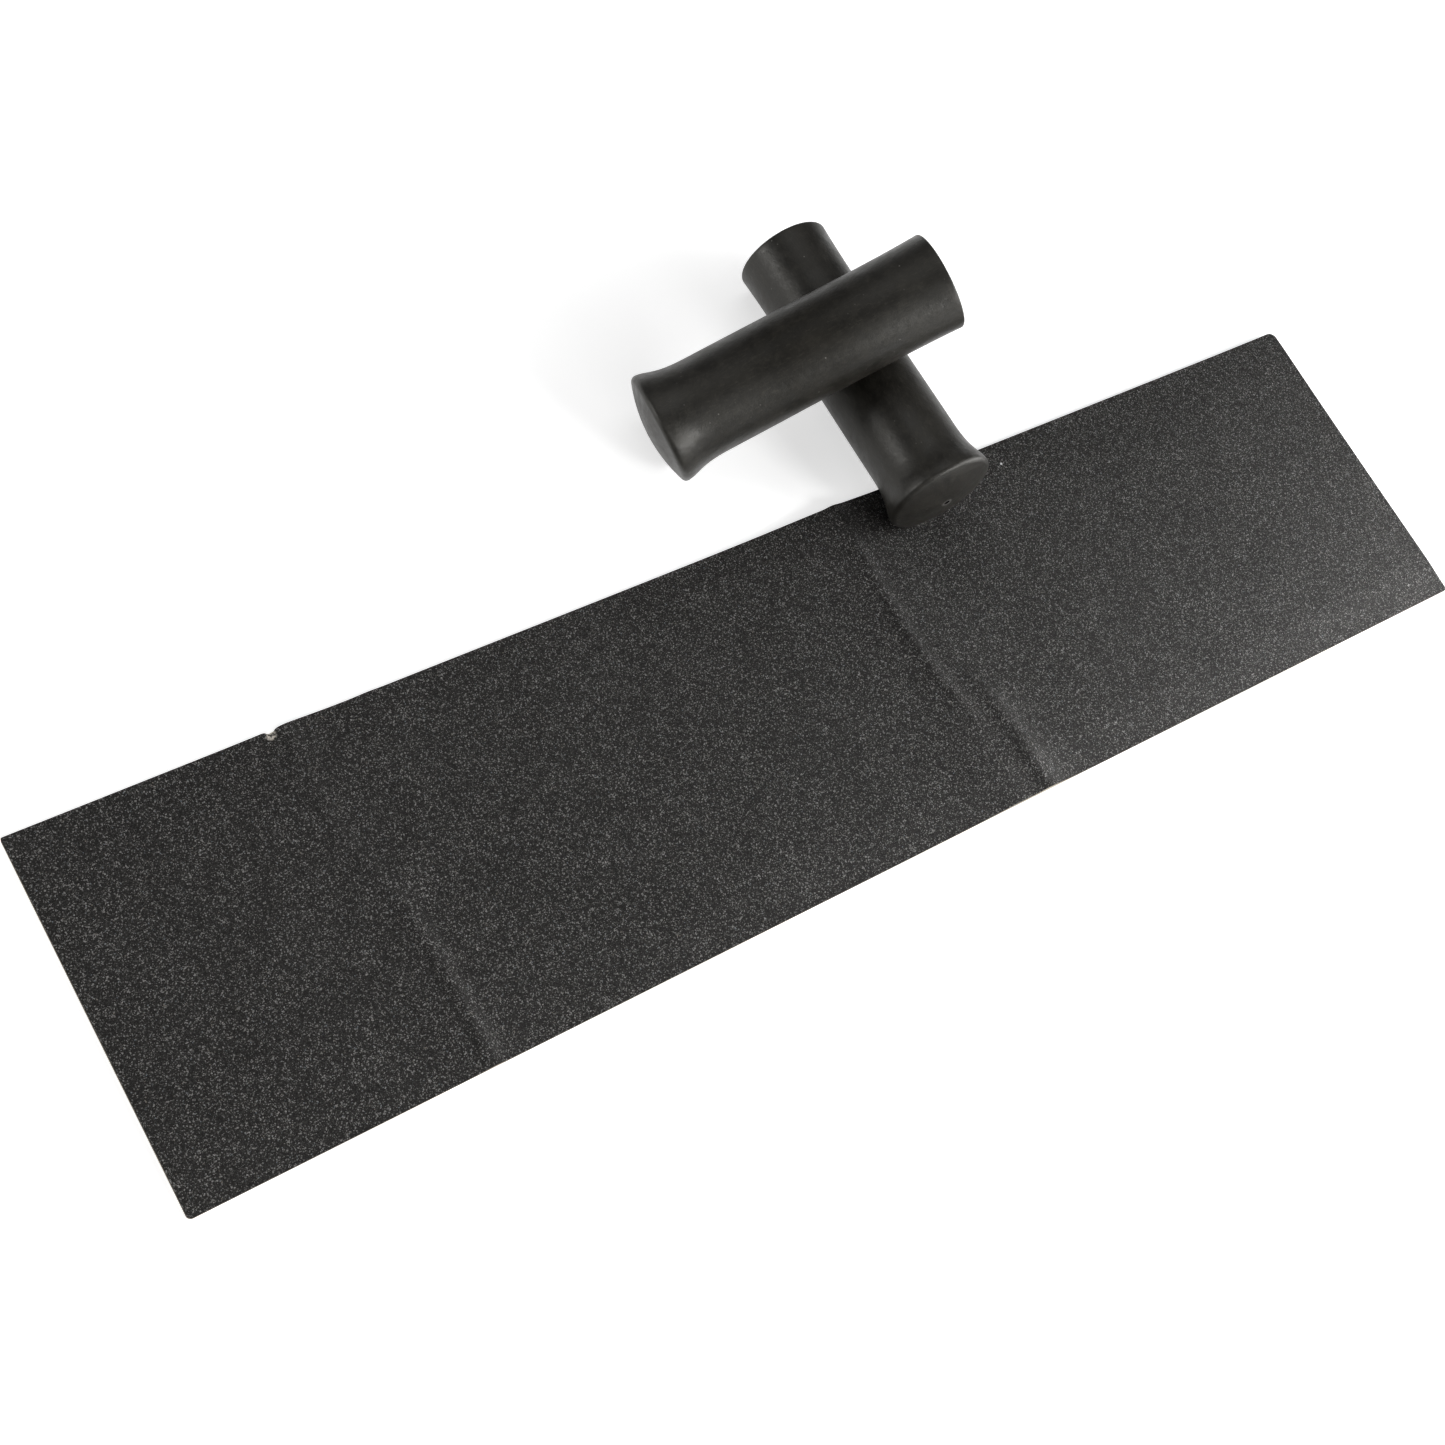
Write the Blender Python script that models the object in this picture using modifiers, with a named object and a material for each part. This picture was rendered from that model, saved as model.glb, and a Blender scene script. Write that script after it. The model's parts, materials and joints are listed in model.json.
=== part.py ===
"""A folded grit sheet on its release liner, with two push-on hand grips.

Metres, +Z up. The origin is the centre of the liner's underside, the face that lies on a bench.
+X runs along the sheet, and +Y across it, towards the edge where the grips lie.
"""

import math

import bpy
from mathutils import Vector
from mathutils.geometry import interpolate_bezier

# Sheet and liner
SHEET_LENGTH = 0.510
SHEET_WIDTH = 0.120
FILM_THICKNESS = 0.0008
LINER_THICKNESS = 0.0002
GAP = 0.0003

# The two folds cross the sheet at a slant, parallel to each other
LEFT_FOLD_X = -0.166
RIGHT_FOLD_X = 0.050
FOLD_SLANT = math.radians(7.0)
BEND_RADIUS = 0.0015

# Corner radii: worn a little where the sheet was handled
CRISP_CORNER = 0.0006
WORN_CORNER = 0.0015
BLUNT_CORNER = 0.0028
CORNER_STEPS = 4

# Grip, measured along its axis from the flange's widest plane
GRIP_LENGTH = 0.1095
FLANGE_RADIUS = 0.01925
BODY_RADIUS = 0.01668
MOUTH_RADIUS = 0.0169
BORE_RADIUS = 0.0111
VENT_RADIUS = 0.0007
END_WALL = 0.006
DOME_RADIUS = 0.0528
EDGE_RADIUS = 0.002
MOUTH_LIP = 0.0006
FLARE_LENGTH = 0.0169
FLARE_FULLNESS = 0.0044
FLARE_REACH = 0.0115
WAIST_PULL = 0.0007
TURN_STEPS = 36

# Where the grips lie: centre of the flange's widest plane, heading and rise of the open end
LOWER_GRIP_XY = (0.0674, 0.0448)
LOWER_GRIP_HEADING = math.radians(89.6)
UPPER_GRIP_XY = (-0.0113, 0.1021)
UPPER_GRIP_HEADING = math.radians(-2.2)
UPPER_GRIP_RISE = math.radians(25.8)

SHEET_TOP = LINER_THICKNESS + GAP + FILM_THICKNESS
FOLD_AXIS_Z = SHEET_TOP + BEND_RADIUS


def clear_scene():
    for thing in list(bpy.data.objects):
        bpy.data.objects.remove(thing, do_unlink=True)


def make_collection(name):
    group = bpy.data.collections.new(name)
    bpy.context.scene.collection.children.link(group)
    return group


def make_material(name, colour, roughness, metallic=0.0):
    material = bpy.data.materials.new(name)
    material.use_nodes = True
    shader = material.node_tree.nodes["Principled BSDF"]
    shader.inputs["Base Color"].default_value = (*colour, 1.0)
    shader.inputs["Roughness"].default_value = roughness
    shader.inputs["Metallic"].default_value = metallic
    return material


def arc(centre, radius, start, end, steps):
    """Points round centre from the angle start to the angle end, both included."""
    angles = [start + (end - start) * i / steps for i in range(steps + 1)]
    return [(centre[0] + radius * math.cos(a), centre[1] + radius * math.sin(a)) for a in angles]


# ---------------------------------------------------------------- sheet and liner

def fold_point(fold_x, y):
    """The point of a fold's line at a distance y across the sheet."""
    return (fold_x - y * math.tan(FOLD_SLANT), y)


def fold_edge(fold_x, side):
    """A panel's two corners on a fold, front then back, half a gap to one side of its line."""
    shift = side * GAP / 2 / math.cos(FOLD_SLANT)
    return [fold_point(fold_x + shift, y) for y in (-SHEET_WIDTH / 2, SHEET_WIDTH / 2)]


def left_end(front_radius, back_radius):
    """The sheet's left end, from its back corner round to its front corner."""
    x = -SHEET_LENGTH / 2
    y = SHEET_WIDTH / 2
    back = arc((x + back_radius, y - back_radius), back_radius, math.pi / 2, math.pi, CORNER_STEPS)
    front = arc(
        (x + front_radius, front_radius - y), front_radius, math.pi, 1.5 * math.pi, CORNER_STEPS
    )
    return back + front


def right_end(front_radius, back_radius):
    """The sheet's right end, from its front corner round to its back corner."""
    return [(-x, -y) for x, y in left_end(back_radius, front_radius)]


def panel_outlines():
    """The three panels' outlines, anticlockwise seen from above."""
    left_front, left_back = fold_edge(LEFT_FOLD_X, -1)
    middle_left_front, middle_left_back = fold_edge(LEFT_FOLD_X, 1)
    middle_right_front, middle_right_back = fold_edge(RIGHT_FOLD_X, -1)
    right_front, right_back = fold_edge(RIGHT_FOLD_X, 1)
    return {
        "left": left_end(WORN_CORNER, CRISP_CORNER) + [left_front, left_back],
        "middle": [middle_left_back, middle_left_front, middle_right_front, middle_right_back],
        "right": right_end(CRISP_CORNER, BLUNT_CORNER) + [right_back, right_front],
    }


def make_fold_axis(name, fold_x, group):
    """An empty on a fold's axis. The panels that turn about the axis are parented to it."""
    empty = bpy.data.objects.new(name, None)
    empty.location = (fold_x, 0.0, FOLD_AXIS_Z)
    group.objects.link(empty)
    return empty


def make_panel(name, outline, bottom, thickness, fold_axis, material, group):
    """A flat panel with its underside at the height bottom, parented to its fold's axis if it has one."""
    origin = fold_axis.location if fold_axis else Vector((0.0, 0.0, 0.0))
    curve = bpy.data.curves.new(name, "CURVE")
    curve.dimensions = "2D"
    curve.fill_mode = "BOTH"
    curve.extrude = thickness / 2
    spline = curve.splines.new("POLY")
    spline.points.add(len(outline) - 1)
    for point, (x, y) in zip(spline.points, outline):
        point.co = (x - origin.x, y - origin.y, 0.0, 1.0)
    spline.use_cyclic_u = True
    curve.materials.append(material)
    panel = bpy.data.objects.new(name, curve)
    panel.parent = fold_axis
    panel.location = (0.0, 0.0, bottom + thickness / 2 - origin.z)
    group.objects.link(panel)
    return panel


def make_sheet(group):
    grit = make_material("black_grit", (0.035, 0.034, 0.033), 0.85)
    paper = make_material("liner_paper", (0.78, 0.74, 0.64), 0.7)
    fold_axes = {
        "left": make_fold_axis("left_fold_axis", LEFT_FOLD_X, group),
        "middle": make_fold_axis("right_fold_axis", RIGHT_FOLD_X, group),
        "right": None,
    }
    film_bottom = LINER_THICKNESS + GAP
    for side, outline in panel_outlines().items():
        fold_axis = fold_axes[side]
        make_panel("liner_" + side, outline, 0.0, LINER_THICKNESS, fold_axis, paper, group)
        make_panel(
            "grit_sheet_" + side, outline, film_bottom, FILM_THICKNESS, fold_axis, grit, group
        )


# ---------------------------------------------------------------- grips

def cap_profile():
    """The closed end as (radius, height): its shallow dome, then its rounded edge."""
    slope = math.asin((FLANGE_RADIUS - EDGE_RADIUS) / (DOME_RADIUS - EDGE_RADIUS))
    edge_height = (DOME_RADIUS - EDGE_RADIUS) * math.cos(slope)
    vent = math.asin(VENT_RADIUS / DOME_RADIUS)
    upright = math.pi / 2
    dome = arc((0.0, -edge_height), DOME_RADIUS, upright - vent, upright - slope, 5)
    edge = arc((FLANGE_RADIUS - EDGE_RADIUS, 0.0), EDGE_RADIUS, upright - slope, 0.0, 5)
    return dome + edge[1:]


def bezier(start, pull_start, pull_end, end, count):
    """Points of one Bezier stretch, without its first."""
    corners = [Vector((r, z, 0.0)) for r, z in (start, pull_start, pull_end, end)]
    return [(p.x, p.y) for p in interpolate_bezier(*corners, count)[1:]]


def side_profile(mouth_z):
    """The outside from the flange to the mouth: a concave flare, then a slightly waisted body."""
    flare_end = (BODY_RADIUS, -FLARE_LENGTH)
    flare = bezier(
        (FLANGE_RADIUS, 0.0),
        (FLANGE_RADIUS - EDGE_RADIUS / 6, -FLARE_FULLNESS),
        (BODY_RADIUS, FLARE_REACH - FLARE_LENGTH),
        flare_end,
        8,
    )
    lip_z = mouth_z + MOUTH_LIP
    body = bezier(
        flare_end,
        (BODY_RADIUS, lip_z * 0.55),
        (BODY_RADIUS - WAIST_PULL, lip_z * 0.8),
        (MOUTH_RADIUS, lip_z),
        7,
    )
    lip = arc((MOUTH_RADIUS - MOUTH_LIP, lip_z), MOUTH_LIP, 0.0, -math.pi / 2, 2)
    return flare + body + lip[1:]


def grip_profile():
    """The closed loop that is turned into a grip, outer side first and from top to bottom."""
    cap = cap_profile()
    crown_z = cap[0][1]
    mouth_z = crown_z - GRIP_LENGTH
    bore_end_z = crown_z - END_WALL
    bore = [(BORE_RADIUS, mouth_z), (BORE_RADIUS, bore_end_z), (VENT_RADIUS, bore_end_z)]
    return cap + side_profile(mouth_z) + bore


def lowest_reach(rise):
    """How far a grip reaches below its flange centre when its open end rises by the angle rise."""
    drops = [z * math.sin(rise) + radius * math.cos(rise) for radius, z in grip_profile()]
    return max(drops)


def lower_grip_rise(flange_z):
    """The rise of the open end when the flange lies at flange_z and the mouth on the bench."""
    mouth_z = min(z for radius, z in grip_profile())
    return math.asin((MOUTH_RADIUS - flange_z) / -mouth_z)


def make_grip(name, flange_centre, heading, rise, material, group):
    mesh = bpy.data.meshes.new(name)
    profile = grip_profile()
    count = len(profile)
    loop = [(i, (i + 1) % count) for i in range(count)]
    mesh.from_pydata([(radius, 0.0, z) for radius, z in profile], loop, [])
    mesh.materials.append(material)
    grip = bpy.data.objects.new(name, mesh)
    group.objects.link(grip)
    turn = grip.modifiers.new("turn", "SCREW")
    turn.axis = "Z"
    turn.angle = math.tau
    turn.steps = TURN_STEPS
    turn.render_steps = TURN_STEPS
    turn.use_merge_vertices = True
    turn.merge_threshold = 0.00001
    turn.use_smooth_shade = True
    grip.location = flange_centre
    grip.rotation_euler = (math.pi / 2 + rise, 0.0, heading - math.pi / 2)
    return grip


def make_grips(group):
    rubber = make_material("black_rubber", (0.03, 0.029, 0.027), 0.55)
    lower_z = SHEET_TOP + GAP + FLANGE_RADIUS
    make_grip(
        "lower_grip",
        (*LOWER_GRIP_XY, lower_z),
        LOWER_GRIP_HEADING,
        lower_grip_rise(lower_z),
        rubber,
        group,
    )
    make_grip(
        "upper_grip",
        (*UPPER_GRIP_XY, lowest_reach(UPPER_GRIP_RISE)),
        UPPER_GRIP_HEADING,
        UPPER_GRIP_RISE,
        rubber,
        group,
    )


def main():
    clear_scene()
    group = make_collection("grit_sheet_and_grips")
    make_sheet(group)
    make_grips(group)


main()
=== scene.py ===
"""Looks for the folded grit sheet, its liner and the two hand grips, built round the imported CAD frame.

Metres, in the frame's axes: +X along the sheet, +Y towards the edge where the grips lie, +Z up.
"""

import json
import math
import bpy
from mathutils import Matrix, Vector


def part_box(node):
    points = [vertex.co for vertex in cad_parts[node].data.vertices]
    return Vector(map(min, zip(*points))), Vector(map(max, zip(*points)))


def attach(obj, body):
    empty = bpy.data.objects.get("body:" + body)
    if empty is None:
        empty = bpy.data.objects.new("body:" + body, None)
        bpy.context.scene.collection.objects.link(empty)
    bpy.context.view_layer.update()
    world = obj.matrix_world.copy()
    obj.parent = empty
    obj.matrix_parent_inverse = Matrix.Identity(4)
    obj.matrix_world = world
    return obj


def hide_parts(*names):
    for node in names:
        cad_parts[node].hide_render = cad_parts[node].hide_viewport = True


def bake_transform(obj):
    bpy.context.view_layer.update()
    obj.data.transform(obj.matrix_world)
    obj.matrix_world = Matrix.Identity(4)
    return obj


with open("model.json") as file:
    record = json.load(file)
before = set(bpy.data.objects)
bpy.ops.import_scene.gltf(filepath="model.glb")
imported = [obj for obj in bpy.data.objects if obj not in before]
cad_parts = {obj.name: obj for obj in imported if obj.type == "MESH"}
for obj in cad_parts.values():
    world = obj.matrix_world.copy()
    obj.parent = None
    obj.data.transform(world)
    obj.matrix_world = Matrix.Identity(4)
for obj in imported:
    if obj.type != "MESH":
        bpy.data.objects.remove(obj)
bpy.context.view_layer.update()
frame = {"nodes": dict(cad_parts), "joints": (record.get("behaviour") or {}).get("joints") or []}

from types import SimpleNamespace

import bpy
import numpy as np
from mathutils import Matrix, Vector, noise

MM = 0.001
UPRIGHT = math.pi / 2

# Camera: the point it looks at, how far off it is, and where it stands
AIM = (-0.0383, 0.0066, 0.0)
CAMERA_DISTANCE = 0.6905
CAMERA_HEADING = math.radians(25.96)
CAMERA_DIP = math.radians(59.51)
CAMERA_ROLL = math.radians(36.71)
LENS = 53.576
SENSOR = 36.0

# Softboxes aimed at the middle of the sheet: name, heading and elevation in degrees, distance,
# size in metres, power in watts
SOFTBOXES = [
    ("key", -34, 33, 1.1, (0.6, 0.5), 4.4),
    ("front", -68, 29, 1.1, (0.3, 0.3), 5.8),
    ("near", -14, 15, 0.85, (0.5, 0.3), 3.2),
    ("fill", -120, 48, 1.3, (0.8, 0.7), 1.9),
    ("top", 80, 66, 1.2, (0.8, 0.8), 1.7),
    ("side", 154, 20, 1.0, (0.3, 0.3), 2.6),
]

# How brightly the surround shines on the object, and how bright it looks to the camera
SURROUND_GLOW = 0.17
SEEN_SURROUND_GLOW = 0.72

# A lightbox table: the floor shines a little itself, so that shadows stay faint on it
FLOOR_GLOW = 0.65
FLOOR_REACH = 6.0
FLOOR_DROP = 0.05 * MM

# The sheet's grid: the steps between its stations, and how far the fine ones reach
COARSE_STEP = 1.6 * MM
FINE_STEP = 0.45 * MM
EDGE_REACH = 3.2 * MM
FOLD_REACH = 22 * MM
SEAM_X = -0.058
SHEET_SHARP = math.radians(50)

# Corner radii of the sheet, keyed by the side along X and the side along Y
CORNER_RADII = {
    (-1, -1): 1.5 * MM,
    (-1, 1): 0.6 * MM,
    (1, -1): 0.6 * MM,
    (1, 1): 2.8 * MM,
}

# Lines across the sheet, as (y, x) in millimetres: the creases' crests, and the broad swells that
# carry them
BACK_CREST = [(-60, 45), (-25, 42), (-10, 38.6), (3, 37.4), (28, 37.8), (60, 38.6)]
FRONT_CREST = [(-60, 53.4), (-38, 53.4), (-25, 52.2), (-10, 49.5), (60, 49)]
SHOULDER_CREST = [(-60, 38), (-35, 37), (0, 30), (60, 30)]
RIGHT_SWELL = [(-60, 52), (0, 43), (60, 39)]
LEFT_CREST = [(-60, -160), (-30, -160), (-12, -161), (3, -163), (14, -167), (24, -169), (60, -168)]
SECOND_CREST = [(-60, -158), (0, -157), (9, -149), (29, -142), (60, -139.5)]
LEFT_SWELL = [(-60, -160), (60, -167)]

# The left crease curls here, as (x, y) in millimetres, and the back edge wrinkles here
CURL = (-166.5, 20)
WRINKLE_X = -165.5 * MM

# The back right corner's rise off the bench, and how fast it dies away
CORNER_RISE = 1.1 * MM
CORNER_FADE = 24 * MM

# How far the long edges droop below the sheet's middle, in millimetres
FRONT_DROOP = 0.55
BACK_DROOP = 0.25

# Faint waves over the whole sheet: their height, and how many to a metre along X and Y
WAVE_HEIGHT = 0.16 * MM
WAVES_PER_METRE = (11, 16)

# The lower grip's flange holds the sheet down: how far in from the grip's end, and how far round
PRESS_INSET = 5 * MM
PRESS_REACH = (12 * MM, 17 * MM)

# The liner may rise this much and still slide out under the film
LINER_RISE = 0.2 * MM

# Marks on the grit, as (x, y) in millimetres: a nick torn in the back edge, and a pale speck
NICK = (-172.4, 58.4)
PALE_SPECK = (110.6, 51.8)

# How deep the nick is in the film and in the liner under it
FILM_TEAR = 1.4 * MM
LINER_TEAR = 0.3 * MM

# Grip, measured along its axis from the flange's widest plane
GRIP_LENGTH = 109.5 * MM
FLANGE_RADIUS = 19.25 * MM
BODY_RADIUS = 16.68 * MM
MOUTH_RADIUS = 16.9 * MM
BORE_RADIUS = 11.1 * MM
BORE_FILLET = 1.0 * MM
VENT_RADIUS = 0.9 * MM
VENT_EDGE = 0.25 * MM
END_WALL = 6 * MM
DOME_RADIUS = 52.8 * MM
EDGE_RADIUS = 2 * MM
MOUTH_LIP = 0.7 * MM
FLARE_LENGTH = 16.9 * MM
FLARE_FULLNESS = 4.4 * MM
FLARE_REACH = 11.5 * MM
WAIST_PULL = 0.7 * MM
TURN_STEPS = 128
GRIP_SHARP = math.radians(60)

# Where the cap's dome meets its rounded edge: the slope there, and how far below the flange's
# widest plane the dome's centre lies
CAP_SLOPE = math.asin((FLANGE_RADIUS - EDGE_RADIUS) / (DOME_RADIUS - EDGE_RADIUS))
DOME_DROP = (DOME_RADIUS - EDGE_RADIUS) * math.cos(CAP_SLOPE)

# How far below its crown a grip is held, and how much of an end shows how wide that end is
HELD_DEPTH = 58 * MM
END_SLICE = 0.1 * MM

# A grip's own axis, as (x, y)
AXIS = (0.0, 0.0)

# The colour of the torn bits at the nick
TORN_PAPER = (0.62, 0.57, 0.50, 1.0)


# ---------------------------------------------------------------- measures of the frame

def node_points(name):
    """A CAD node's vertices, each place once."""
    points = np.array([v.co for v in frame["nodes"][name].data.vertices], float)
    return np.unique(points.round(7), axis=0)


def joint(name):
    return next(j for j in frame["joints"] if j["name"] == name)


def span_of(nodes):
    """The lowest and the highest corner over a few CAD nodes."""
    boxes = [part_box(name) for name in nodes]
    return np.min([b[0] for b in boxes], axis=0), np.max([b[1] for b in boxes], axis=0)


FILM_LOW, FILM_HIGH = span_of(["grit_sheet_left", "grit_sheet_middle", "grit_sheet_right"])
LINER_LOW, LINER_HIGH = span_of(["liner_left", "liner_middle", "liner_right"])
HALF_LENGTH = float(FILM_HIGH[0])
HALF_WIDTH = float(FILM_HIGH[1])

# The sheet's two layers: how their names begin, their slot, and their sheet's height and shape
FILM = SimpleNamespace(
    piece="grit_film_",
    body="sheet_",
    node="grit_sheet_",
    fold="",
    slot="black_grit",
    bottom=FILM_LOW[2],
    thickness=FILM_HIGH[2] - FILM_LOW[2],
    most_rise=math.inf,
    torn=FILM_TEAR,
)
LINER = SimpleNamespace(
    piece="release_liner_",
    body="liner_",
    node="liner_",
    fold="liner_",
    slot="liner_paper",
    bottom=LINER_LOW[2],
    thickness=LINER_HIGH[2] - LINER_LOW[2],
    most_rise=LINER_RISE,
    torn=LINER_TEAR,
)

# Each layer is two halves: where a half lies along X, its fold, the panels on the fold's two sides,
# and the panels it stands for
HALVES = {
    "left": SimpleNamespace(
        span=(-HALF_LENGTH, SEAM_X),
        fold="left_fold",
        beside_fold=("left", "middle"),
        stands_for=("left", "middle"),
    ),
    "right": SimpleNamespace(
        span=(SEAM_X, HALF_LENGTH),
        fold="right_fold",
        beside_fold=("middle", "right"),
        stands_for=("right",),
    ),
}


# ---------------------------------------------------------------- the sheet's relief

def smooth(low, high, value):
    """0 below low, 1 above high, and an S between them."""
    t = np.clip((value - low) / (high - low), 0.0, 1.0)
    return t * t * (3 - 2 * t)


def ridge(offset, left, right):
    """A rounded ridge: 1 at its crest, falling off over the widths left and right of it in mm."""
    width = np.where(offset < 0, left, right) * MM
    return np.exp(-((offset / width) ** 2))


def beside(x, y, line):
    """How far right of a line across the sheet each point is. The line is (y, x) pairs in mm."""
    ys, xs = np.array(line).T * MM
    return x - np.interp(y, ys, xs)


def right_fold_relief(x, y):
    """The right fold jogs: one crease from the back edge, another from the front edge."""
    back_share = smooth(-38 * MM, -12 * MM, y)
    front_share = 1 - smooth(-26 * MM, -6 * MM, y)
    back = 0.95 * back_share * ridge(beside(x, y, BACK_CREST), 2.3, 3.2)
    front = front_share * ridge(beside(x, y, FRONT_CREST), 2.7, 4.8)
    shoulder = 0.42 * front_share * ridge(beside(x, y, SHOULDER_CREST), 9, 7)
    swell = (2.1 - 0.8 * smooth(-60 * MM, 0.0, y)) * ridge(beside(x, y, RIGHT_SWELL), 26, 14)
    return (back + front + shoulder + swell) * MM


def left_fold_relief(x, y):
    """The left fold is a Y: one crease from the front edge that parts in two towards the back."""
    strong = 1 - smooth(-12 * MM, 4 * MM, y)
    curl = ridge(y - CURL[1] * MM, 5, 5)
    front = (0.30 + 0.46 * strong + 0.25 * curl) * ridge(beside(x, y, LEFT_CREST), 2.2, 3.2)
    second = 0.36 * smooth(-8 * MM, 8 * MM, y) * ridge(beside(x, y, SECOND_CREST), 3.4, 3.4)
    swell = 0.55 * ridge(beside(x, y, LEFT_SWELL), 12, 12)
    wrinkle = 0.6 * smooth(46 * MM, 60 * MM, y) * ridge(x - WRINKLE_X, 3.5, 9)
    return (front + second + swell + wrinkle) * MM


def crease_wear_and_highlight(x, y):
    """Where the grit is painted pale: along the lit right-hand side of each crest, partly as wear and
    partly as painted highlight, and a painted highlight along the front edge.
    """
    left_fade = 1 - 0.5 * smooth(-10 * MM, 20 * MM, y)
    left = left_fade * ridge(beside(x, y, LEFT_CREST) - 2.6 * MM, 2.0, 2.6)
    curl = 0.7 * ridge(np.hypot(x - CURL[0] * MM, (y - CURL[1] * MM) * 0.8), 2.0, 2.2)
    past_back_crest = beside(x, y, BACK_CREST) - 3.4 * MM
    past_front_crest = beside(x, y, FRONT_CREST) - 5 * MM
    right = 0.6 * ridge(np.where(y > -22 * MM, past_back_crest, past_front_crest), 1.8, 3.2)
    # A painted highlight along the front edge.
    painted_front_highlight = 0.35 * (1 - smooth(0.0, 7 * MM, y + HALF_WIDTH))
    return np.clip(left + curl + right + painted_front_highlight, 0.0, 1.0)


def corner_lift(x, y):
    """The back right corner stands a little off the bench."""
    run = (x - HALF_LENGTH) + 0.6 * (y - HALF_WIDTH)
    return CORNER_RISE * np.exp(run / CORNER_FADE)


def crown(y):
    """The sheet's long edges droop to the bench, so its middle stands a little higher."""
    front = smooth(0.0, 15 * MM, y + HALF_WIDTH)
    back = smooth(0.0, 11 * MM, HALF_WIDTH - y)
    return MM * (FRONT_DROOP * front + BACK_DROOP * back - BACK_DROOP)


def waves(x, y):
    """Faint waves all over the sheet."""
    along, across = WAVES_PER_METRE
    rise = [noise.noise(Vector((a * along, b * across, 3.0))) for a, b in zip(x.flat, y.flat)]
    return WAVE_HEIGHT * (np.array(rise).reshape(x.shape) + 0.5).clip(0, 1)


def freed(x, y):
    """The share of the relief that is left where the lower grip's flange presses on the sheet."""
    low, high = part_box("lower_grip")
    flange_x = (low.x + high.x) / 2
    flange_y = low.y + PRESS_INSET
    reach_x, reach_y = PRESS_REACH
    return 1 - np.exp(-(((x - flange_x) / reach_x) ** 2) - ((y - flange_y) / reach_y) ** 2)


def relief(x, y):
    """How far the sheet's top stands above the flat, at points x, y."""
    folds = right_fold_relief(x, y) + left_fold_relief(x, y)
    total = folds + corner_lift(x, y) + crown(y) + waves(x, y)
    return np.maximum(total * freed(x, y), 0.0)


# ---------------------------------------------------------------- the sheet's pieces

def stations(low, high, fine_spans):
    """Places from low to high, a fine step apart inside the fine spans and a coarse one outside."""
    places = [low]
    while places[-1] < high - FINE_STEP:
        here = places[-1]
        fine = any(a - COARSE_STEP < here < b for a, b in fine_spans)
        places.append(here + (FINE_STEP if fine else COARSE_STEP))
    places[-1] = high
    return np.array(places)


def edge_spans(half):
    """The fine spans along the two edges at -half and +half."""
    return [(-half, EDGE_REACH - half), (half - EDGE_REACH, half)]


def sheet_grid(span):
    """x and y of a grid over the sheet's full width and a span of its length."""
    folds = [joint(name)["pos_m"][0] for name in ("left_fold", "right_fold")]
    fine_x = [(f - FOLD_REACH, f + FOLD_REACH) for f in folds] + edge_spans(HALF_LENGTH)
    across = stations(-HALF_WIDTH, HALF_WIDTH, edge_spans(HALF_WIDTH))
    return np.meshgrid(stations(*span, fine_x), across, indexing="ij")


def round_corners(x, y):
    """Draws the grid's points near each corner of the sheet in to that corner's arc."""
    for (side_x, side_y), radius in CORNER_RADII.items():
        a = (x * side_x - (HALF_LENGTH - radius)) / radius
        b = (y * side_y - (HALF_WIDTH - radius)) / radius
        near = (a > 0) & (b > 0)
        a, b = a.clip(0, 1), b.clip(0, 1)
        new_x = side_x * (HALF_LENGTH - radius + radius * a * np.sqrt(1 - b * b / 2))
        new_y = side_y * (HALF_WIDTH - radius + radius * b * np.sqrt(1 - a * a / 2))
        x = np.where(near, new_x, x)
        y = np.where(near, new_y, y)
    return x, y


def nick(x, y, depth):
    """A small tear in the back edge beside the left fold, drawn in from the edge."""
    depth = depth * ridge(x - NICK[0] * MM, 1.0, 1.5)
    share = smooth(HALF_WIDTH - 5 * MM, HALF_WIDTH, y)
    return y - depth * share


def keep_rest(mesh, points):
    """Keeps each vertex's own place on the mesh, for patterns that stay put when it bends or moves."""
    rest = mesh.attributes.new("rest", "FLOAT_VECTOR", "POINT")
    rest.data.foreach_set("vector", points.astype(np.float32).ravel())


def add_piece(mesh, sharp_angle):
    """A smooth-shaded piece in the scene, with the edges above sharp_angle kept sharp."""
    mesh.shade_smooth()
    mesh.set_sharp_from_angle(angle=sharp_angle)
    piece = bpy.data.objects.new(mesh.name, mesh)
    bpy.context.scene.collection.objects.link(piece)
    return piece


def slab_faces(rows, columns):
    """The faces of a closed slab over a grid: its top, its underside and its four walls."""
    index = np.arange(rows * columns).reshape(rows, columns)
    quads = np.stack([index[:-1, :-1], index[1:, :-1], index[1:, 1:], index[:-1, 1:]], -1)
    quads = quads.reshape(-1, 4)
    ring = np.concatenate([index[:, 0], index[-1, 1:], index[-2::-1, -1], index[0, -2:0:-1]])
    after = np.roll(ring, -1)
    top = rows * columns
    walls = np.stack([ring, after, after + top, ring + top], -1)
    return quads + top, quads[:, ::-1], walls


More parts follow.
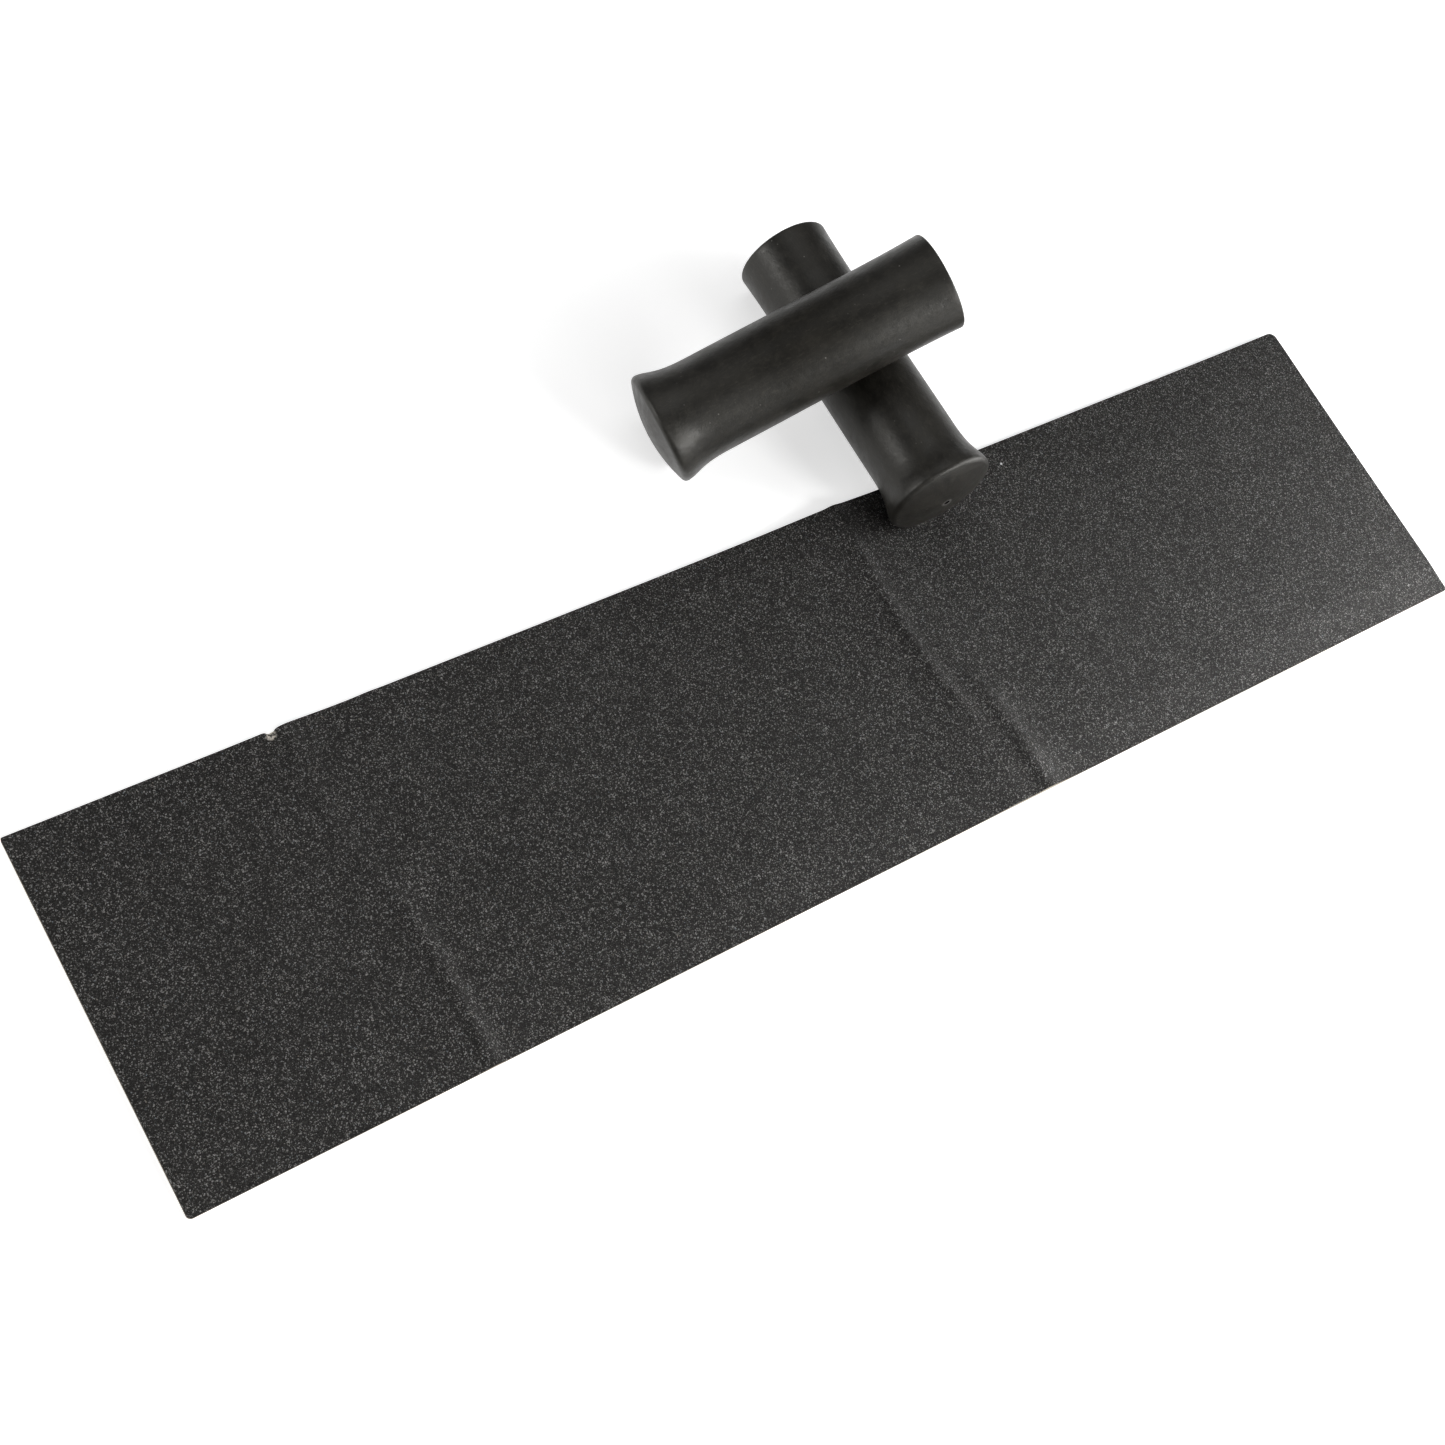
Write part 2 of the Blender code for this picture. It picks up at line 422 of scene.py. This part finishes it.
def sheet_mesh(layer, name, span):
    """A closed thin sheet over span, with the layer's relief and a nick torn in its back edge."""
    x, y = round_corners(*sheet_grid(span))
    height = np.minimum(relief(x, y), layer.most_rise)
    # The pale marks along the creases and the front edge: partly wear, partly painted highlight.
    wear_and_highlight = np.tile(crease_wear_and_highlight(x, y).ravel(), 2).astype(np.float32)
    y = nick(x, y, layer.torn)
    low = np.stack([x, y, layer.bottom + height], -1).reshape(-1, 3)
    points = np.concatenate([low, low + (0, 0, layer.thickness)])
    sides = slab_faces(*x.shape)
    mesh = bpy.data.meshes.new(name)
    mesh.from_pydata(points.tolist(), [], np.concatenate(sides).tolist())
    slots = np.repeat([0, 1, 2], [len(side) for side in sides]).astype(np.int32)
    mesh.polygons.foreach_set("material_index", slots)
    keep_rest(mesh, points)
    mesh.attributes.new("wear_and_highlight", "FLOAT", "POINT").data.foreach_set("value", wear_and_highlight)
    return mesh


def make_half(layer, side, materials):
    """One half of a layer, lying on the piece under, with the CAD panels it stands for hidden."""
    half = HALVES[side]
    piece = add_piece(sheet_mesh(layer, layer.piece + side, half.span), SHEET_SHARP)
    for material in materials:
        piece.data.materials.append(material)
    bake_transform(piece)
    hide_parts(*[layer.node + panel for panel in half.stands_for])


# ---------------------------------------------------------------- node helpers

class Shader:
    """Builds one procedural material, node by node. Places are in millimetres."""

    def __init__(self, name):
        self.material = bpy.data.materials.new(name)
        self.material.use_nodes = True
        self.tree = self.material.node_tree
        self.surface = self.tree.nodes["Principled BSDF"]

    def add(self, kind, inputs=(), **settings):
        node = self.tree.nodes.new("ShaderNode" + kind)
        for key, value in settings.items():
            setattr(node, key, value)
        for key, value in dict(inputs).items():
            self.put(node, key, value)
        return node

    def put(self, node, key, value):
        if isinstance(value, bpy.types.NodeSocket):
            self.tree.links.new(value, node.inputs[key])
        else:
            node.inputs[key].default_value = value

    def set(self, **values):
        for key, value in values.items():
            self.put(self.surface, key.replace("_", " "), value)

    def math(self, operation, a, b=0.0):
        return self.add("Math", {0: a, 1: b}, operation=operation).outputs[0]

    def vector_math(self, operation, inputs, output="Vector"):
        return self.add("VectorMath", inputs, operation=operation).outputs[output]

    def fit(self, value, low, high, new_low=0.0, new_high=1.0):
        """value moved from low..high to new_low..new_high, and held between them."""
        inputs = {"Value": value, "From Min": low, "From Max": high}
        inputs |= {"To Min": new_low, "To Max": new_high}
        return self.add("MapRange", inputs).outputs["Result"]

    def mix(self, share, a, b):
        return self.add("Mix", {0: share, 6: a, 7: b}, data_type="RGBA").outputs[2]

    def noise(self, place, scale, detail=2.0, roughness=0.5):
        inputs = {"Vector": place, "Scale": scale, "Detail": detail, "Roughness": roughness}
        return self.add("TexNoise", inputs).outputs["Fac"]

    def cells(self, place, scale):
        """(distance to the cell's centre, a random value for each cell, another one)."""
        node = self.add("TexVoronoi", {"Vector": place, "Scale": scale})
        colour = self.add("SeparateColor", {"Color": node.outputs["Color"]})
        return node.outputs["Distance"], colour.outputs[0], colour.outputs[1]

    def kept(self, name, output="Fac"):
        """What is kept on the mesh under a name, vertex by vertex."""
        return self.add("Attribute", attribute_name=name).outputs[output]

    def rest_place(self):
        """The surface's place at rest, so that a pattern stays on a bent sheet or a moved grip."""
        return self.vector_math("SCALE", {0: self.kept("rest", "Vector"), "Scale": 1 / MM})

    def own_place(self):
        """The surface's place in its own object's axes."""
        place = self.add("TexCoord").outputs["Object"]
        return self.vector_math("SCALE", {0: place, "Scale": 1 / MM})

    def stretched(self, place, scale):
        return self.vector_math("MULTIPLY", {0: place, 1: scale})

    def spot(self, place, centre, inner, outer):
        """1 within inner of the line up through centre, (x, y), and 0 beyond outer."""
        flat = self.stretched(place, (1.0, 1.0, 0.0))
        away = self.vector_math("DISTANCE", {0: flat, 1: (*centre, 0.0)}, "Value")
        return self.fit(away, inner, outer, 1.0, 0.0)

    def bump(self, height, distance, strength=1.0, under=None):
        inputs = {"Height": height, "Distance": distance, "Strength": strength}
        if under is not None:
            inputs["Normal"] = under
        return self.add("Bump", inputs).outputs["Normal"]


def grey(value, warmth=0.0):
    """A grey with a little warmth, as a linear colour."""
    return (value * (1 + warmth), value, value * (1 - warmth), 1.0)


def sooty(value):
    """The rubber's near-black, a little short of blue, as a linear colour."""
    return (value * 1.04, value * 0.94, value * 0.74, 1.0)


# ---------------------------------------------------------------- materials

def grain_brightness(s, place, tone, fine_tone):
    """How bright each grain is: most are dull, and a few of either size stand out."""
    bright = s.math("ADD", s.fit(tone, 0.92, 0.985), s.fit(fine_tone, 0.91, 0.985, 0.0, 0.85))
    bright = s.math("ADD", bright, s.math("MULTIPLY", s.math("POWER", fine_tone, 2.0), 0.2))
    patch = s.noise(place, 0.06, 3.0)
    return s.math("MULTIPLY", bright, s.fit(patch, 0.3, 0.7, 0.85, 1.15))


def pale_wear_and_highlight(s, place):
    """How pale the grit is painted, in speckled patches along the creases' lit slopes and the front
    edge: partly wear, partly painted highlight.
    """
    patchy = s.fit(s.noise(place, 0.5, 4.0, 0.7), 0.35, 0.6, 0.4, 1.0)
    speckled = s.fit(s.noise(place, 2.2, 3.0, 0.7), 0.42, 0.62)
    wear_and_highlight = s.math("MULTIPLY", s.kept("wear_and_highlight"), patchy)
    return s.math("MULTIPLY", s.math("MULTIPLY", wear_and_highlight, speckled), 0.5)


def marked(s, place, colour):
    """colour with the torn paper at the nick and the pale speck."""
    ragged = s.fit(s.noise(place, 1.1, 3.0, 0.6), 0.44, 0.54)
    torn = s.math("MULTIPLY", ragged, s.spot(place, NICK, 1.0, 1.9))
    colour = s.mix(torn, colour, TORN_PAPER)
    return s.mix(s.spot(place, PALE_SPECK, 0.35, 0.55), colour, grey(0.75))


def grit_material():
    """Black mineral grains of two sizes: most of them dull, a few with painted glints in their colour,
    and pale patches that are partly wear and partly painted highlight.
    """
    s = Shader("black_grit")
    place = s.rest_place()
    distance, tone, facet = s.cells(place, 2.7)
    fine_distance, fine_tone, fine_facet = s.cells(place, 4.4)
    grain = grain_brightness(s, place, tone, fine_tone)
    colour = s.mix(s.fit(grain, 0.0, 1.6), grey(0.002, 0.05), grey(0.052, 0.05))
    # Painted glints: a few grain facets coloured bright, standing in for the light they reflect.
    painted_glint = s.fit(distance, 0.25, 0.5, 1.0, 0.3)
    painted_glint = s.math("MULTIPLY", s.fit(facet, 0.955, 0.97, 0.0, 0.9), painted_glint)
    painted_glint_colour = s.mix(fine_facet, (0.30, 0.25, 0.19, 1.0), (0.20, 0.25, 0.30, 1.0))
    colour = s.mix(painted_glint, colour, painted_glint_colour)
    drift = s.fit(s.noise(place, 0.013), 0.35, 0.75, 0.0, 0.10)
    colour = s.mix(drift, colour, grey(0.04, 0.03))
    # Pale patches on the creases' lit slopes and along the front edge: partly wear, partly painted
    # highlight.
    colour = s.mix(pale_wear_and_highlight(s, place), colour, grey(0.05, 0.02))
    height = s.math("ADD", s.math("MULTIPLY", distance, -0.6), s.math("MULTIPLY", tone, 0.6))
    height = s.math("ADD", height, s.math("MULTIPLY", fine_distance, -0.5))
    s.set(
        Base_Color=marked(s, place, colour),
        Roughness=s.fit(fine_facet, 0.0, 1.0, 0.34, 0.60),
        Specular_IOR_Level=s.fit(grain, 0.0, 1.6, 0.24, 4.5),
        Specular_Tint=(1.0, 0.975, 0.945, 1.0),
        Normal=s.bump(height, 0.25 * MM, 0.4),
    )
    return s.material


def film_back_material():
    """The film's underside: a smooth, slightly tacky adhesive."""
    s = Shader("film_adhesive")
    place = s.rest_place()
    smear = s.noise(place, 0.25, 4.0, 0.6)
    s.set(
        Base_Color=s.mix(smear, (0.030, 0.022, 0.014, 1), (0.055, 0.043, 0.028, 1)),
        Roughness=s.fit(smear, 0.3, 0.7, 0.28, 0.5),
        Normal=s.bump(smear, 0.1 * MM, 0.5),
    )
    return s.material


def film_edge_material():
    """The film's cut edge, where the backing shows brown."""
    s = Shader("film_cut_edge")
    place = s.rest_place()
    fray = s.noise(place, 2.0, 3.0)
    colour = s.mix(fray, (0.040, 0.024, 0.014, 1), (0.105, 0.066, 0.040, 1))
    s.set(
        Base_Color=s.mix(s.spot(place, NICK, 1.4, 2.2), colour, TORN_PAPER),
        Roughness=s.fit(fray, 0.3, 0.7, 0.7, 0.9),
        Normal=s.bump(fray, 0.15 * MM, 0.6),
    )
    return s.material


def liner_material():
    """Pale release paper, fibrous and a little clouded."""
    s = Shader("liner_paper")
    place = s.rest_place()
    fibre = s.noise(place, 0.9, 5.0, 0.65)
    cloud = s.noise(place, 0.05, 3.0)
    colour = s.mix(fibre, (0.66, 0.60, 0.49, 1), (0.82, 0.78, 0.69, 1))
    colour = s.mix(s.fit(cloud, 0.4, 0.7, 0.0, 0.35), colour, (0.70, 0.63, 0.50, 1))
    s.set(
        Base_Color=colour,
        Roughness=s.fit(fibre, 0.3, 0.7, 0.5, 0.68),
        Normal=s.bump(fibre, 0.05 * MM, 0.4),
    )
    return s.material


def dusted(s, place, colour):
    """colour strewn with specks of dust of two sizes."""
    for scale, rarity, paleness in ((0.19, 0.82, 0.30), (0.62, 0.95, 0.18)):
        distance, pick, tint = s.cells(place, scale)
        near = s.fit(distance, 0.10 * scale, 0.34 * scale, 1.0, 0.0)
        speck = s.math("MULTIPLY", near, s.fit(pick, rarity, rarity + 0.02))
        share = s.math("MULTIPLY", speck, s.fit(tint, 0.0, 1.0, 0.1, 0.9))
        colour = s.mix(share, colour, grey(paleness, 0.06))
    return colour


def rubber_sheen(s, place, vent):
    """The rubber's reflection level: duller on the cap and where hands have held the body."""
    cap = s.spot(place, AXIS, 14.0, 17.0)
    along = s.add("SeparateXYZ", {0: place}).outputs["Z"]
    from_hold = s.math("ABSOLUTE", s.math("ADD", along, HELD_DEPTH / MM))
    handled = s.fit(from_hold, 8.0, 30.0, 1.0, 0.0)
    level = s.fit(handled, 0.0, 1.0, 0.5, 0.28)
    level = s.math("MULTIPLY", level, s.fit(cap, 0.0, 1.0, 1.0, 0.75))
    # Almost no reflection where the vent's shade is painted.
    return s.math("MULTIPLY", level, s.fit(vent, 0.0, 1.0, 1.0, 0.04))


def rubber_material():
    """Satin black rubber, scuffed in blotches, dusty, with painted shade inside its vent and a painted
    highlight round it.
    """
    s = Shader("black_rubber")
    place = s.rest_place()
    skin = s.noise(place, 1.9, 3.0, 0.7)
    cloud = s.noise(place, 0.11, 4.0, 0.6)
    scuff = s.noise(place, 0.28, 5.0, 0.72)
    rub = s.noise(s.stretched(place, (1.0, 1.0, 0.25)), 1.4, 4.0, 0.7)
    colour = s.mix(s.fit(cloud, 0.35, 0.65), sooty(0.007), sooty(0.014))
    colour = s.mix(s.fit(scuff, 0.50, 0.70, 0.0, 0.38), colour, sooty(0.033))
    colour = s.mix(s.fit(rub, 0.54, 0.72, 0.0, 0.42), colour, sooty(0.042))
    colour = dusted(s, place, colour)
    # A pale ring painted round the vent: a painted highlight standing in for a raised rim.
    painted_rim_highlight = s.math("MULTIPLY", s.spot(place, AXIS, 1.6, 2.2), 0.7)
    # The vent's inside is painted near-black: painted shade in the hole.
    vent = s.spot(place, AXIS, 1.0, 1.15)
    colour = s.mix(painted_rim_highlight, colour, grey(0.10, 0.05))
    colour = s.mix(vent, colour, grey(0.0005))
    dull = s.math("ADD", s.fit(scuff, 0.35, 0.65, 0.33, 0.44), s.fit(cloud, 0.38, 0.62, 0.0, 0.09))
    clouded = s.bump(cloud, 1.2 * MM, 0.25)
    s.set(
        Base_Color=colour,
        Roughness=dull,
        Specular_IOR_Level=rubber_sheen(s, place, vent),
        Specular_Tint=(1.0, 0.985, 0.94, 1.0),
        Normal=s.bump(skin, 0.08 * MM, 0.5, under=clouded),
    )
    return s.material


def floor_material():
    """A plain pale table that shines a little itself."""
    s = Shader("floor")
    pale = s.mix(s.noise(s.own_place(), 0.01), grey(0.86), grey(0.88))
    s.set(Base_Color=pale, Roughness=0.9, Emission_Color=pale, Emission_Strength=FLOOR_GLOW)
    return s.material


# ---------------------------------------------------------------- grips

def arc(centre, radius, start, end, steps):
    """Points round centre from the angle start to the angle end, both included."""
    angles = np.linspace(start, end, steps + 1)
    return [(centre[0] + radius * math.cos(a), centre[1] + radius * math.sin(a)) for a in angles]


def bezier(start, pull_start, pull_end, end, count):
    """Points of one Bezier stretch, without its first."""
    t = np.linspace(0, 1, count)[1:, None]
    a, b, c, d = (np.array(p) for p in (start, pull_start, pull_end, end))
    points = a * (1 - t) ** 3 + 3 * b * t * (1 - t) ** 2 + 3 * c * t * t * (1 - t) + d * t**3
    return [tuple(p) for p in points]


def cap_profile():
    """The closed end as (radius, height): the vent's edge, the shallow dome and its rounded edge."""
    vent_reach = VENT_RADIUS + VENT_EDGE
    vent_z = math.sqrt(DOME_RADIUS**2 - vent_reach**2) - DOME_DROP
    dome_start = math.asin((vent_reach + 0.1 * MM) / DOME_RADIUS)
    vent = arc((vent_reach, vent_z - VENT_EDGE), VENT_EDGE, math.pi, UPRIGHT, 5)
    dome = arc((0.0, -DOME_DROP), DOME_RADIUS, UPRIGHT - dome_start, UPRIGHT - CAP_SLOPE, 24)
    edge = arc((FLANGE_RADIUS - EDGE_RADIUS, 0.0), EDGE_RADIUS, UPRIGHT - CAP_SLOPE, 0.0, 12)
    return vent + dome + edge[1:]


def side_profile(lip_z):
    """The outside from the flange to the mouth: a concave flare, then a slightly waisted body."""
    flare_end = (BODY_RADIUS, -FLARE_LENGTH)
    flare = bezier(
        (FLANGE_RADIUS, 0.0),
        (FLANGE_RADIUS - EDGE_RADIUS / 6, -FLARE_FULLNESS),
        (BODY_RADIUS, FLARE_REACH - FLARE_LENGTH),
        flare_end,
        24,
    )
    body = bezier(
        flare_end,
        (BODY_RADIUS, lip_z * 0.55),
        (BODY_RADIUS - WAIST_PULL, lip_z * 0.8),
        (MOUTH_RADIUS, lip_z),
        40,
    )
    lip = arc((MOUTH_RADIUS - MOUTH_LIP, lip_z), MOUTH_LIP, 0.0, -UPRIGHT, 6)
    return flare + body + lip[1:]


def bore_profile(lip_z, end_z):
    """The bore from its rounded mouth up to the vent."""
    lip = arc((BORE_RADIUS + MOUTH_LIP, lip_z), MOUTH_LIP, -UPRIGHT, -math.pi, 5)
    wall = [(BORE_RADIUS, lip_z + (end_z - lip_z) * k / 12) for k in range(1, 12)]
    corner = (BORE_RADIUS - BORE_FILLET, end_z - BORE_FILLET)
    return lip + wall + arc(corner, BORE_FILLET, 0.0, UPRIGHT, 5) + [(VENT_RADIUS, end_z)]


def grip_profile():
    """The closed loop that is turned into a grip, outer side first and from top to bottom."""
    crown_z = DOME_RADIUS - DOME_DROP
    lip_z = crown_z - GRIP_LENGTH + MOUTH_LIP
    return cap_profile() + side_profile(lip_z) + bore_profile(lip_z, crown_z - END_WALL)


def grip_placement(node_name):
    """The grip's own axes in the frame: its crown at the top of +Z, found from its CAD node."""
    points = node_points(node_name)
    centre = points.mean(0)
    spread = np.cov((points - centre).T)
    axis = np.linalg.eigh(spread)[1][:, -1]
    run = (points - centre) @ axis
    reach = np.linalg.norm(points - centre - run[:, None] * axis, axis=1)
    top_reach = reach[run > run.max() - END_SLICE].max()
    bottom_reach = reach[run < run.min() + END_SLICE].max()
    if top_reach > bottom_reach:
        axis, run = -axis, -run
    crown = centre + axis * run.max()
    side = np.cross((0, 0, 1), axis)
    side /= np.linalg.norm(side)
    across = np.cross(axis, side)
    placed = Matrix.Identity(4)
    for column, vector in enumerate((side, across, axis, crown)):
        placed.col[column][0:3] = Vector(vector)
    return placed


def turned_mesh(name, profile):
    """The profile turned once round +Z, with its highest point at the height 0."""
    radius, height = np.array(profile).T[:, :, None]
    turns = np.arange(TURN_STEPS) * math.tau / TURN_STEPS
    level = np.repeat(height - height.max(), TURN_STEPS, 1)
    points = np.stack([radius * np.cos(turns), radius * np.sin(turns), level], -1).reshape(-1, 3)
    index = np.arange(len(points)).reshape(-1, TURN_STEPS)
    below = np.roll(index, -1, 0)
    faces = np.stack([index, below, np.roll(below, -1, 1), np.roll(index, -1, 1)], -1)
    mesh = bpy.data.meshes.new(name)
    mesh.from_pydata(points.tolist(), [], faces.reshape(-1, 4).tolist())
    keep_rest(mesh, points)
    return mesh


def make_grip(name, node_name, material):
    mesh = turned_mesh(name, grip_profile())
    mesh.transform(grip_placement(node_name))
    mesh.materials.append(material)
    grip = add_piece(mesh, GRIP_SHARP)
    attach(grip, node_name)
    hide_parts(node_name)


# ---------------------------------------------------------------- pieces together

def make_sheets():
    film = [grit_material(), film_back_material(), film_edge_material()]
    paper = [liner_material()]
    for side in HALVES:
        make_half(FILM, side, film)
        make_half(LINER, side, paper)


def make_grips():
    rubber = rubber_material()
    make_grip("grip_sleeve_lower", "lower_grip", rubber)
    make_grip("grip_sleeve_upper", "upper_grip", rubber)


# ---------------------------------------------------------------- floor, light and camera

def make_floor():
    mesh = bpy.data.meshes.new("floor")
    corners = [(-1, -1), (1, -1), (1, 1), (-1, 1)]
    points = [(x * FLOOR_REACH, y * FLOOR_REACH, 0) for x, y in corners]
    mesh.from_pydata(points, [], [(0, 1, 2, 3)])
    mesh.materials.append(floor_material())
    floor = bpy.data.objects.new("floor", mesh)
    floor.location.z = -FLOOR_DROP
    bpy.context.scene.collection.objects.link(floor)


def direction(heading, elevation):
    """The unit vector at a heading and an elevation, both in radians."""
    level = math.cos(elevation)
    return Vector((math.cos(heading) * level, math.sin(heading) * level, math.sin(elevation)))


def make_softbox(name, heading, elevation, distance, size, power):
    light = bpy.data.lights.new(name, "AREA")
    light.shape = "RECTANGLE"
    light.size, light.size_y = size
    light.energy = power
    lamp = bpy.data.objects.new(name, light)
    towards = direction(math.radians(heading), math.radians(elevation))
    lamp.location = towards * distance
    lamp.rotation_euler = towards.to_track_quat("Z", "Y").to_euler()
    bpy.context.scene.collection.objects.link(lamp)


def make_surround():
    """A dim white world, which the camera sees as pale as the far end of the floor."""
    world = bpy.data.worlds.new("studio")
    world.use_nodes = True
    nodes, links = world.node_tree.nodes, world.node_tree.links
    background = nodes["Background"]
    background.inputs["Color"].default_value = grey(1.0)
    strength = nodes.new("ShaderNodeMapRange")
    strength.inputs["To Min"].default_value = SURROUND_GLOW
    strength.inputs["To Max"].default_value = SEEN_SURROUND_GLOW
    seen = nodes.new("ShaderNodeLightPath").outputs["Is Camera Ray"]
    links.new(seen, strength.inputs["Value"])
    links.new(strength.outputs["Result"], background.inputs["Strength"])
    bpy.context.scene.world = world


def make_lights():
    make_surround()
    for softbox in SOFTBOXES:
        make_softbox(*softbox)
    bpy.context.scene.view_settings.view_transform = "Standard"


def make_camera():
    forward = direction(CAMERA_HEADING, -CAMERA_DIP)
    level = forward.cross(Vector((0, 0, 1))).normalized()
    upright = level.cross(forward)
    right = level * math.cos(CAMERA_ROLL) + upright * math.sin(CAMERA_ROLL)
    up = right.cross(forward)
    data = bpy.data.cameras.new("camera")
    data.lens = LENS
    data.sensor_width = SENSOR
    camera = bpy.data.objects.new("camera", data)
    turned = Matrix((right, up, -forward)).transposed().to_4x4()
    camera.matrix_world = Matrix.Translation(Vector(AIM) - forward * CAMERA_DISTANCE) @ turned
    bpy.context.scene.collection.objects.link(camera)
    bpy.context.scene.camera = camera


make_camera()
make_floor()
make_sheets()
make_grips()
make_lights()
